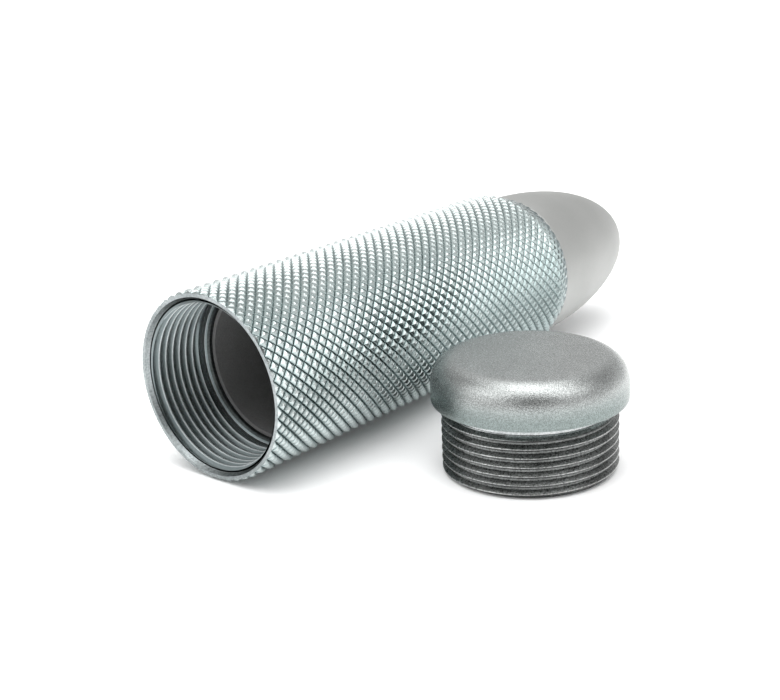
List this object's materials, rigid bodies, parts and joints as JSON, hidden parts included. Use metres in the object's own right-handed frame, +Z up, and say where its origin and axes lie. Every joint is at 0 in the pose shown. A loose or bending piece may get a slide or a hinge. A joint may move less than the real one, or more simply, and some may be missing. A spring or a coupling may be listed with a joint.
{
  "type": "rod case",
  "caption": "Knurled tube with a rounded nose and an internally threaded mouth, and a separate screw cap with a threaded plug; holds and protects fishing gear.",
  "frame": {"origin": "centre of the bounding box's base, on the plane that the tube lies on and the cap stands on", "axes": "+X along the tube from its mouth to its nose, +Z up; the tube is on the +Y side and the loose cap on the -Y side"},
  "size_m": [0.119, 0.0706, 0.032],
  "materials": {
    "knurled_aluminium": "clear-anodised, diamond knurled, satin",
    "blasted_aluminium": "bead-blasted, satin",
    "cap_aluminium": "bead-blasted head, machined darker thread",
    "liner_felt": "dark felt, matte",
    "foam": "closed-cell foam, matte"
  },
  "bodies": {
    "case": {"tube": "knurled_aluminium", "nose": "blasted_aluminium", "liner": "liner_felt"},
    "pad": {"end_pad": "foam"},
    "cap_pad": {"cap_pad": "foam"},
    "cap": {"cap": "cap_aluminium"}
  },
  "joints": [
    {"name": "cap_advance", "type": "slide", "parent": "case", "child": "pad", "axis": [1, 0, 0], "range_m": [0, 0.0132]},
    {"name": "cap_swing", "type": "hinge", "parent": "pad", "child": "cap_pad", "pos_m": [-0.05686, -0.0076, -0.00404], "axis": [0.515, 0.6853, -0.515], "range_deg": [0, 248.84]},
    {"name": "cap_turn", "type": "hinge", "parent": "cap_pad", "child": "cap", "pos_m": [-0.0254, -0.01935, 0.009], "axis": [0, 0, -1], "range_deg": [0, 3168]}
  ],
  "couplings": [
    {"joint": "cap_turn", "follows": "cap_advance", "rad_per_m": 4188.8}
  ]
}
